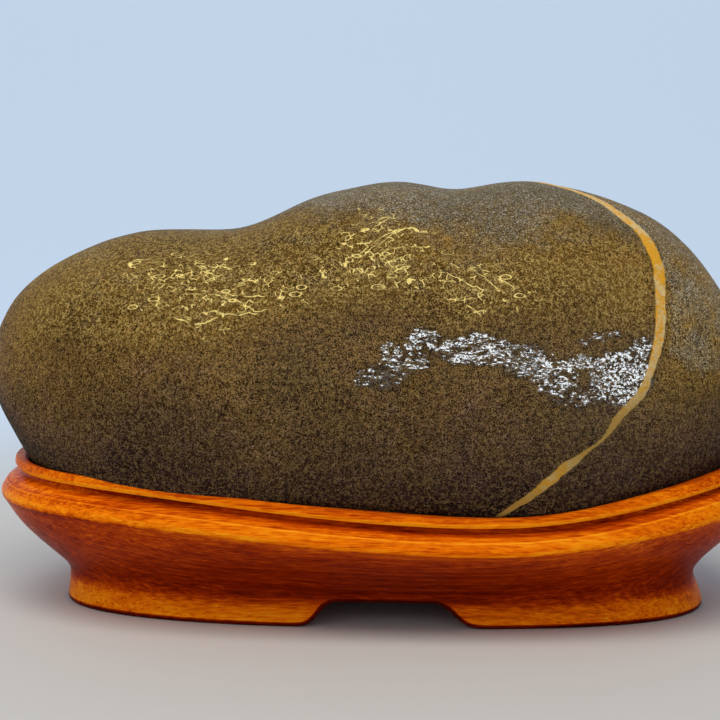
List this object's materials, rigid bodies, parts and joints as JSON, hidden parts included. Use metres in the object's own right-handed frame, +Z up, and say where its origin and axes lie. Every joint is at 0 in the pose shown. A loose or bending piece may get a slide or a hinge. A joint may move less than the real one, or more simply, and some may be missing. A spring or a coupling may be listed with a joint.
{
  "type": "river pebble on stand",
  "caption": "Long water-worn river pebble with a pale vein, resting in a moulded hardwood stand cut to fit it.",
  "frame": {"origin": "middle of the whole piece, on the surface that it stands on", "axes": "+X along the stone toward its taller end, -Y toward the front, +Z up"},
  "size_m": [0.249, 0.121, 0.1346],
  "materials": {
    "waxed_stone": "smooth water-worn surface with a glossy wax coat",
    "varnished_wood": "amber hardwood under glossy varnish"
  },
  "bodies": {
    "root": {"stone": "waxed_stone", "stand": "varnished_wood"}
  },
  "joints": []
}
